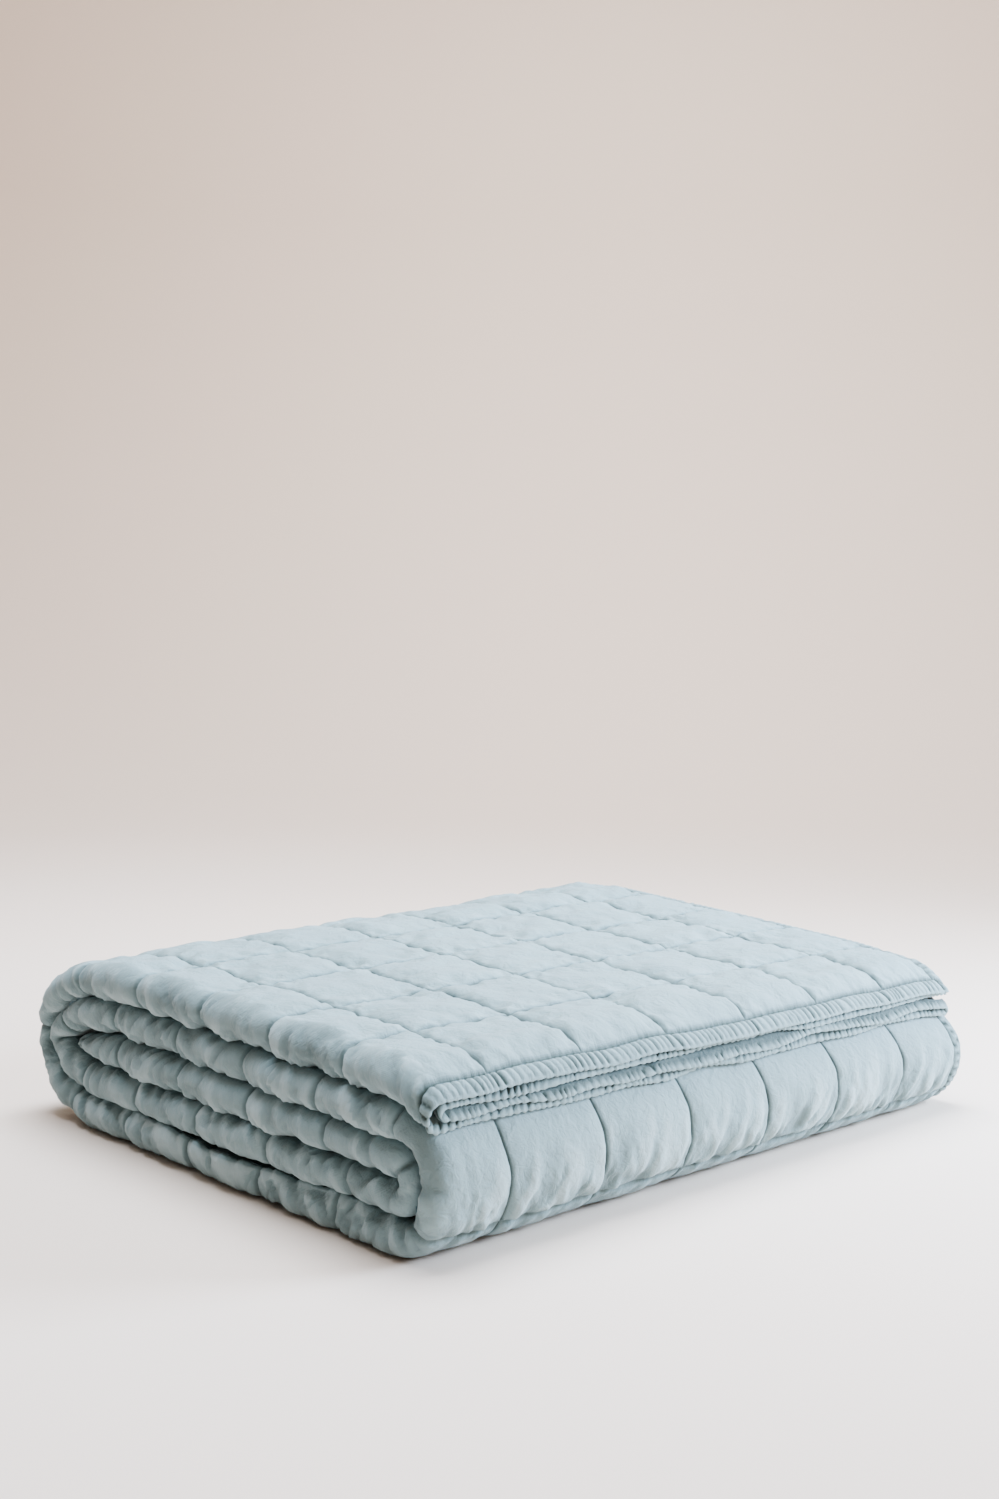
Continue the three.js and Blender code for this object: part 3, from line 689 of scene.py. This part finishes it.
def spacing(across, along, side):
    """How far apart the mesh's points may be, in millimetres, across and along."""
    face = side > 0
    wide, long = np.full_like(across, float(WIDEST)), np.full_like(across, float(WIDEST))

    def at_most(where, size_across, size_along):
        wide[where] = np.minimum(wide[where], size_across)
        long[where] = np.minimum(long[where], size_along)

    at_most(~is_level(along, "top", "bottom", "fourth", "second", "third"), WIDEST, COARSE)
    shows = face & (across < LEFT_FOLD_START)
    shows &= openness(along, np.interp(along, route_length, route_heading)) > 0.01
    shows_clear = shows & ~is_level(along, "back fold")
    at_most(shows, FINE, MEDIUM)
    at_most(shows_clear, FINE, FINE)
    at_most(shows & is_level(along, "front fold") & (along < LOW_FRONT_END), FINEST, FINE)
    at_most(shows & (to_nearest(across, seam_across) < BESIDE_SEAM), FINEST, FINE)
    at_most(shows_clear & (to_nearest(along, seam_along) < BESIDE_SEAM), FINE, FINEST)
    at_most(face & (across > LEFT_FOLD_START - 6) & (across < LEFT_FOLD_END + 4), FINE, FINE)
    under_fold = (across > LEFT_FOLD_END) & (across < LEFT_FOLD_END + 20)
    at_most(face & under_fold & is_level(along, "bottom"), FINE, FINE)
    at_most(~face & (across > LEFT_FOLD_START - 6) & (across < LEFT_FOLD_END + 6), MEDIUM, LONG)
    inner_start, inner_end = ribbon_spans["inner left fold"]
    at_most((across > inner_start - 6) & (across < inner_end + 6), FINE, LONG)
    at_most((across > RIGHT_FOLD_START - 6) & (across < RIGHT_FOLD_END + 6), FINE, LONG)
    outer_level = is_level(along, "top", "top edge", "back fold", "front fold")
    at_most((across < HEM_WIDTH + 2) & outer_level, FINE, FINE)
    at_most(np.minimum(across, ACROSS_END - across) < HEM_WIDTH + 2, FINE, COARSE)
    at_most(along < 5, FINEST, FINE)
    top_hem = (along < HEM_WIDTH + 3) & face & (across < LEFT_FOLD_END)
    at_most(top_hem, FINEST, FINE)
    at_most(top_hem & (along > 8), FINEST, FINEST)
    at_most(ALONG_END - along < HEM_WIDTH + 2, COARSE, FINE)
    return wide, long


def refine(bm):
    """Halves the cells of the flat panel, either way, until they are as fine as spacing asks."""
    for _ in range(REFINING_PASSES):
        cells = [face for face in bm.faces if len(face.verts) == 4]
        corners = np.array([[vert.co[:] for vert in face.verts] for face in cells])
        sides = np.abs(np.roll(corners, -1, axis=1) - corners)[:, :, :2]
        middle = corners.mean(axis=1)
        size = corners.max(axis=1) - corners.min(axis=1)
        across, along = to_mm(middle[:, 0], seam_across), to_mm(middle[:, 1], seam_along)
        wide, long = spacing(across, along, middle[:, 2])
        upright = (sides.min(axis=2) < 1e-5).all(axis=1)
        split_wide = upright & (size[:, 0] * SQUARE > wide * 1.02)
        split_long = upright & (size[:, 1] * SQUARE > long * 1.02)
        edges = set()
        for i in np.nonzero(split_wide | split_long)[0]:
            for edge in cells[i].edges:
                a, b = edge.verts
                runs_across = abs(a.co.x - b.co.x) > abs(a.co.y - b.co.y)
                if split_wide[i] if runs_across else split_long[i]:
                    edges.add(edge)
        if not edges:
            return
        bmesh.ops.subdivide_edges(bm, edges=list(edges), cuts=1, use_grid_fill=True)


def make_cover():
    bm = bmesh.new()
    panel = Matrix.Diagonal((SQUARES_ACROSS, SQUARES_ALONG, 1, 1)) @ Matrix.Translation((0.5, 0.5, 0))
    for height in (1, -1):
        made = bmesh.ops.create_grid(bm, x_segments=2 * SQUARES_ACROSS, y_segments=2 * SQUARES_ALONG,
                                     size=0.5, matrix=Matrix.Translation((0, 0, height)) @ panel)
        if height < 0:
            backs = {face for vert in made["verts"] for face in vert.link_faces}
            bmesh.ops.reverse_faces(bm, faces=list(backs))
    refine(bm)
    flat = np.array([vert.co[:] for vert in bm.verts])
    edge = ((flat[:, 0] < 1e-6) | (flat[:, 0] > SQUARES_ACROSS - 1e-6) | (flat[:, 1] < 1e-6)
            | (flat[:, 1] > SQUARES_ALONG - 1e-6))
    side = np.where(edge, 0, flat[:, 2])
    folded = cover_point(flat[:, 0], flat[:, 1], side)
    uv = bm.loops.layers.uv.new("flat_cloth")
    across, along = to_mm(flat[:, 0], seam_across), to_mm(flat[:, 1], seam_along)
    bm.verts.index_update()
    for face in bm.faces:
        face.smooth = True
        for loop in face.loops:
            i = loop.vert.index
            loop[uv].uv = (across[i] / 1000, along[i] / 1000)
    # Painted shade on each point, and the ridges' painted lightening, partly wear and partly highlight
    shade = bm.verts.layers.float.new("painted_light_and_ridge_wear")
    for vert, point in zip(bm.verts, folded):
        vert.co = point[:3]
        vert[shade] = point[3]
    rim = [vert for vert, on_edge in zip(bm.verts, edge) if on_edge]
    bmesh.ops.remove_doubles(bm, verts=rim, dist=1e-6)
    bmesh.ops.triangulate(bm, faces=[face for face in bm.faces if len(face.verts) > 4])
    mesh = bpy.data.meshes.new("cover")
    bm.to_mesh(mesh)
    bm.free()
    cover = bpy.data.objects.new("cover", mesh)
    bpy.context.scene.collection.objects.link(cover)
    return cover


cover = make_cover()
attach(cover, "root")
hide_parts("quilted_cover")

# Washed cotton percale, dyed a pale grey blue and washed soft: matte, a little cloudy, with fine
# crinkles and a plain weave. Shade is painted dark into its seams, puckers, troughs and the gaps
# between its layers, and its ridges are painted lighter, partly wear and partly highlight
COTTON = "#8a9fa2"
COTTON_FADED = "#92a7a9"
# The painted shade's colour, then the ridges' colour, partly wear and partly painted highlight
COTTON_IN_PAINTED_SHADE = "#34443f"
COTTON_WORN_AND_LIT_ON_RIDGES = "#a3b6b8"
CRINKLE_M = 0.007
CRINKLE_HEIGHT_M = 0.0016
CLOUDS_M = 0.09
# The weave is drawn at twice its real pitch, so that it shows
WEAVE_PITCH_M = 0.0007
WEAVE_HEIGHT_M = 0.00005


def linear(hex_colour):
    """An sRGB hex colour as the linear values that a shader takes."""
    parts = [int(hex_colour[i:i + 2], 16) / 255 for i in (1, 3, 5)]
    return (*(part / 12.92 if part <= 0.04045 else ((part + 0.055) / 1.055) ** 2.4 for part in parts), 1)


def add_node(material, kind, links=(), **values):
    """A node with its settings, its inputs by name, and links as (output, input) pairs."""
    node = material.node_tree.nodes.new(kind)
    for name, value in values.items():
        label = name.replace("_", " ")
        if hasattr(node, name):
            setattr(node, name, value)
        else:
            node.inputs[label].default_value = value
    for output, name in links:
        material.node_tree.links.new(output, node.inputs[name])
    return node


def new_material(name):
    material = bpy.data.materials.new(name)
    material.use_nodes = True
    material.node_tree.nodes.clear()
    return material


def mix_colours(material, factor, first, second):
    """Two colours, each a hex string or an output, mixed by a value between 0 and 1."""
    node = add_node(material, "ShaderNodeMix", data_type="RGBA")
    material.node_tree.links.new(factor, node.inputs[0])
    for socket, colour in ((node.inputs[6], first), (node.inputs[7], second)):
        if isinstance(colour, str):
            socket.default_value = linear(colour)
        else:
            material.node_tree.links.new(colour, socket)
    return node.outputs[2]


cotton = new_material("washed cotton percale")
flat_cloth = add_node(cotton, "ShaderNodeUVMap", uv_map="flat_cloth").outputs["UV"]
painted_light_and_ridge_wear = add_node(cotton, "ShaderNodeAttribute", attribute_name="painted_light_and_ridge_wear").outputs["Fac"]
clouds = add_node(cotton, "ShaderNodeTexNoise", [(flat_cloth, "Vector")], Scale=1 / CLOUDS_M, Detail=4)
crinkles = add_node(cotton, "ShaderNodeTexNoise", [(flat_cloth, "Vector")], Scale=1 / CRINKLE_M, Detail=3,
                    Roughness=0.6, Distortion=0.4)
weave_scale = 2 * np.pi / WEAVE_PITCH_M / 20
warp, weft = (add_node(cotton, "ShaderNodeTexWave", [(flat_cloth, "Vector")], bands_direction=way,
                       Scale=weave_scale) for way in "XY")
weave = add_node(cotton, "ShaderNodeMath", operation="ADD")
cotton.node_tree.links.new(warp.outputs["Fac"], weave.inputs[0])
cotton.node_tree.links.new(weft.outputs["Fac"], weave.inputs[1])
crinkled = add_node(cotton, "ShaderNodeBump", [(crinkles.outputs["Fac"], "Height")],
                    Distance=CRINKLE_HEIGHT_M, Strength=1.0)
woven = add_node(cotton, "ShaderNodeBump", [(weave.outputs["Value"], "Height"),
                                            (crinkled.outputs["Normal"], "Normal")],
                 Distance=WEAVE_HEIGHT_M, Strength=1.0)
dyed = mix_colours(cotton, clouds.outputs["Fac"], COTTON, COTTON_FADED)
# The painted shade darkens the seams, the puckers, the troughs and the gaps between the layers
deep = add_node(cotton, "ShaderNodeMapRange", [(painted_light_and_ridge_wear, "Value")])
# The ridges are painted lighter, partly wear and partly highlight
worn_and_lit = add_node(cotton, "ShaderNodeMapRange", [(painted_light_and_ridge_wear, "Value")], From_Max=-RIDGE_WEAR_AND_HIGHLIGHT)
faded_and_lit = mix_colours(cotton, worn_and_lit.outputs["Result"], dyed, COTTON_WORN_AND_LIT_ON_RIDGES)
shaded = mix_colours(cotton, deep.outputs["Result"], faded_and_lit, COTTON_IN_PAINTED_SHADE)
base = add_node(cotton, "ShaderNodeBsdfPrincipled", [(shaded, "Base Color"),
                                                     (woven.outputs["Normal"], "Normal")],
                Roughness=0.9, Sheen_Weight=0.2, Sheen_Roughness=0.5)
add_node(cotton, "ShaderNodeOutputMaterial", [(base.outputs["BSDF"], "Surface")])
cover.data.materials.append(cotton)

# Quilting thread
# Lockstitches run along every seam that shows and along the hem, each a short float of thread that
# dips into the cloth at both ends.
STITCH_PITCH = 3.6
STITCH_LENGTH = 2.9
STITCH_HALF_WIDTH = 0.28
STITCH_LIFT = 0.12
THREAD = "#6f8891"


def to_count(place, seams):
    """From millimetres back to squares."""
    counts = np.linspace(0, len(seams) - 1, 64 * (len(seams) - 1) + 1)
    return np.interp(place, to_mm(counts, seams), counts)


def stitch_line(start, end):
    """The middles of a row of stitches between two places, and which way they run."""
    start, end = np.array(start, float), np.array(end, float)
    length = np.hypot(*(end - start))
    run = (end - start) / length
    return [(*(start + run * place), *run) for place in np.arange(STITCH_PITCH / 2, length, STITCH_PITCH)]


def level_span(*names):
    on_level = np.isin(route[:, 2], [LEVELS.index(name) for name in names])
    return route_length[on_level].min(), route_length[on_level].max()


def visible_stitches():
    rows = []
    spans = [(HEM_WIDTH, level_span("top", "back fold")[1]), level_span("front fold")]
    for start, end in spans:
        rows += stitch_line((HEM_WIDTH, start), (HEM_WIDTH, end))
        for across in seam_across[1:8]:
            if across < LEFT_FOLD_START:
                rows += stitch_line((across, start), (across, end))
        for along in seam_along[(seam_along > start) & (seam_along < end)]:
            rows += stitch_line((HEM_WIDTH, along), (LEFT_FOLD_START, along))
    rows += stitch_line((HEM_WIDTH, HEM_WIDTH), (LEFT_FOLD_END, HEM_WIDTH))
    lower_start, lower_end = level_span("bottom")
    rows += stitch_line((seam_across[7], lower_start), (seam_across[7], lower_end))
    for along in seam_along[1:-1]:
        rows += stitch_line((LEFT_FOLD_START, along), (LEFT_FOLD_END, along))
    return np.array(rows)


def on_face(across, along):
    u, v = to_count(across, seam_across), to_count(along, seam_along)
    return cover_point(u, v, np.ones_like(u))[:, :3]


stitches = visible_stitches()
half_run = stitches[:, 2:] * STITCH_LENGTH / 2
middles = on_face(*stitches[:, :2].T)
fronts = on_face(*(stitches[:, :2] + half_run).T)
backs = on_face(*(stitches[:, :2] - half_run).T)
beside = on_face(stitches[:, 0] - 0.5 * stitches[:, 3], stitches[:, 1] + 0.5 * stitches[:, 2])
runs = fronts - backs
lengths = np.linalg.norm(runs, axis=1)
runs /= lengths[:, None]
sideways = beside - middles
sideways -= runs * (sideways * runs).sum(axis=1)[:, None]
sideways /= np.linalg.norm(sideways, axis=1)[:, None]
upwards = np.cross(runs, sideways)
bm = bmesh.new()
bmesh.ops.create_uvsphere(bm, u_segments=4, v_segments=2, radius=1)
points_each = len(bm.verts)
while len(bm.verts) < points_each * len(stitches):
    bmesh.ops.duplicate(bm, geom=bm.verts[:] + bm.edges[:] + bm.faces[:])
bm.verts.ensure_lookup_table()
bmesh.ops.delete(bm, geom=bm.verts[points_each * len(stitches):], context="VERTS")
shapes = np.array([vert.co[:] for vert in bm.verts]).reshape(len(stitches), points_each, 3)
half_width = STITCH_HALF_WIDTH / 1000
axes = np.stack([sideways * half_width, upwards * half_width, runs * lengths[:, None] / 2], axis=1)
centres = (fronts + backs) / 2 + upwards * STITCH_LIFT / 1000
placed = (centres[:, None] + np.einsum("spa,sax->spx", shapes, axes)).reshape(-1, 3)
for vert, point in zip(bm.verts, placed):
    vert.co = point
bmesh.ops.recalc_face_normals(bm, faces=bm.faces)
thread_mesh = bpy.data.meshes.new("quilting_thread")
bm.to_mesh(thread_mesh)
bm.free()
thread = bpy.data.objects.new("quilting_thread", thread_mesh)
bpy.context.scene.collection.objects.link(thread)
# Spun cotton, a shade darker than the cloth and a little smoother
spun = new_material("cotton quilting thread")
strand = add_node(spun, "ShaderNodeBsdfPrincipled", Roughness=0.7, Sheen_Weight=0.15)
strand.inputs["Base Color"].default_value = linear(THREAD)
add_node(spun, "ShaderNodeOutputMaterial", [(strand.outputs["BSDF"], "Surface")])
thread.data.materials.append(spun)
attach(thread, "root")

# Studio
# The cover lies in the middle of a pale paper bowl, so that no horizon shows from any side. One large
# soft light hangs above, a smaller one stands in front on the right, and one lights the backdrop.
FLOOR_RADIUS_M = 2.4
SWEEP_RADIUS_M = 2.2
WALL_TOP_M = 5
bm = bmesh.new()
profile = [bm.verts.new((FLOOR_RADIUS_M * share, 0, 0)) for share in (0, 0.5, 1)]
for angle in np.radians(np.arange(10, 91, 10)):
    profile.append(bm.verts.new((FLOOR_RADIUS_M + SWEEP_RADIUS_M * np.sin(angle), 0,
                                 SWEEP_RADIUS_M * (1 - np.cos(angle)))))
profile.append(bm.verts.new((FLOOR_RADIUS_M + SWEEP_RADIUS_M, 0, WALL_TOP_M)))
outline = [bm.edges.new(pair) for pair in zip(profile, profile[1:])]
bmesh.ops.spin(bm, geom=profile + outline, axis=(0, 0, 1), cent=(0, 0, 0), dvec=(0, 0, 0),
               angle=2 * np.pi, steps=64, use_merge=True, use_duplicate=False)
bmesh.ops.remove_doubles(bm, verts=bm.verts, dist=1e-5)
bmesh.ops.recalc_face_normals(bm, faces=bm.faces)
if sum(face.normal.z for face in bm.faces) < 0:
    bmesh.ops.reverse_faces(bm, faces=bm.faces)
for face in bm.faces:
    face.smooth = True
floor_mesh = bpy.data.meshes.new("floor")
bm.to_mesh(floor_mesh)
bm.free()
floor = bpy.data.objects.new("floor", floor_mesh)
bpy.context.scene.collection.objects.link(floor)
PAPER = "#ebdbce"
paper = new_material("matte backdrop paper")
shade = add_node(paper, "ShaderNodeBsdfPrincipled", Roughness=1)
shade.inputs["Base Color"].default_value = linear(PAPER)
add_node(paper, "ShaderNodeOutputMaterial", [(shade.outputs["BSDF"], "Surface")])
floor.data.materials.append(paper)

world = bpy.data.worlds.new("studio")
world.use_nodes = True
world.node_tree.nodes["Background"].inputs["Color"].default_value = linear("#fff9f0")
world.node_tree.nodes["Background"].inputs["Strength"].default_value = 0.56
bpy.context.scene.world = world
bpy.context.scene.view_settings.look = "AgX - Medium High Contrast"

LIGHTS = [
    {"name": "overhead", "watts": 147, "size": (1.8, 1.5), "place": (0.2, 0.3, 2.5), "aim": (0, 0, 0),
     "colour": "#e4f0ff", "spread": 180},
    {"name": "front", "watts": 25, "size": (0.7, 0.6), "place": (1.2, -1.05, 0.65), "aim": (0.2, -0.1, 0.1),
     "colour": "#cfe5ff", "spread": 100},
    {"name": "backdrop", "watts": 47, "size": (1.2, 1.2), "place": (1.8, 1.6, 2.3), "aim": (3.6, 2.9, 1.2),
     "colour": "#f2f7fc", "spread": 180},
]
for row in LIGHTS:
    lamp = bpy.data.lights.new(row["name"], "AREA")
    lamp.energy = row["watts"]
    lamp.color = linear(row["colour"])[:3]
    lamp.shape = "RECTANGLE"
    lamp.size, lamp.size_y = row["size"]
    lamp.spread = np.radians(row["spread"])
    light = bpy.data.objects.new(row["name"], lamp)
    light.location = row["place"]
    light.rotation_euler = (Vector(row["aim"]) - light.location).to_track_quat("-Z", "Y").to_euler()
    light.visible_camera = False
    bpy.context.scene.collection.objects.link(light)

# A black flag beyond the picture on the left soaks up light that the paper would throw onto the
# folded side. It casts no shadow of its own.
FLAG = {"x": -0.95, "z": 0.65, "half_height": 0.55, "half_width": 1.3}
bm = bmesh.new()
upright = Matrix.Translation((FLAG["x"], 0, FLAG["z"])) @ Matrix.Rotation(np.pi / 2, 4, "Y")
upright = upright @ Matrix.Diagonal((FLAG["half_height"], FLAG["half_width"], 1, 1))
bmesh.ops.create_grid(bm, x_segments=1, y_segments=1, size=1, matrix=upright)
flag_mesh = bpy.data.meshes.new("flag")
bm.to_mesh(flag_mesh)
bm.free()
flag = bpy.data.objects.new("flag", flag_mesh)
flag.visible_camera = False
flag.visible_shadow = False
bpy.context.scene.collection.objects.link(flag)
FELT = "#141414"
felt = new_material("black felt")
dark = add_node(felt, "ShaderNodeBsdfPrincipled", Roughness=1)
dark.inputs["Base Color"].default_value = linear(FELT)
add_node(felt, "ShaderNodeOutputMaterial", [(dark.outputs["BSDF"], "Surface")])
flag.data.materials.append(felt)

# The camera stands at the photograph's place. Its frame is 999 by 1499, and its focal length is 1700
# of those pixels.
FRAME_WIDTH = 999
FOCAL = 1700
SENSOR_MM = 36
CAMERA_PLACE_MM = (-7.182 * SQUARE + (494.1 - 6 * SQUARE) - STACK_CENTRE[0],
                   -9.104 * SQUARE - STACK_CENTRE[1], 4.453 * SQUARE)
CAMERA_AZIMUTH = -41.97
CAMERA_PITCH = -3.51
camera_data = bpy.data.cameras.new("camera")
camera_data.sensor_fit = "HORIZONTAL"
camera_data.sensor_width = SENSOR_MM
camera_data.lens = FOCAL / FRAME_WIDTH * SENSOR_MM
camera_data.clip_start = 0.05
camera = bpy.data.objects.new("camera", camera_data)
camera.location = Vector(CAMERA_PLACE_MM) / 1000
camera.rotation_euler = np.radians((90 + CAMERA_PITCH, 0, CAMERA_AZIMUTH))
bpy.context.scene.collection.objects.link(camera)
bpy.context.scene.camera = camera
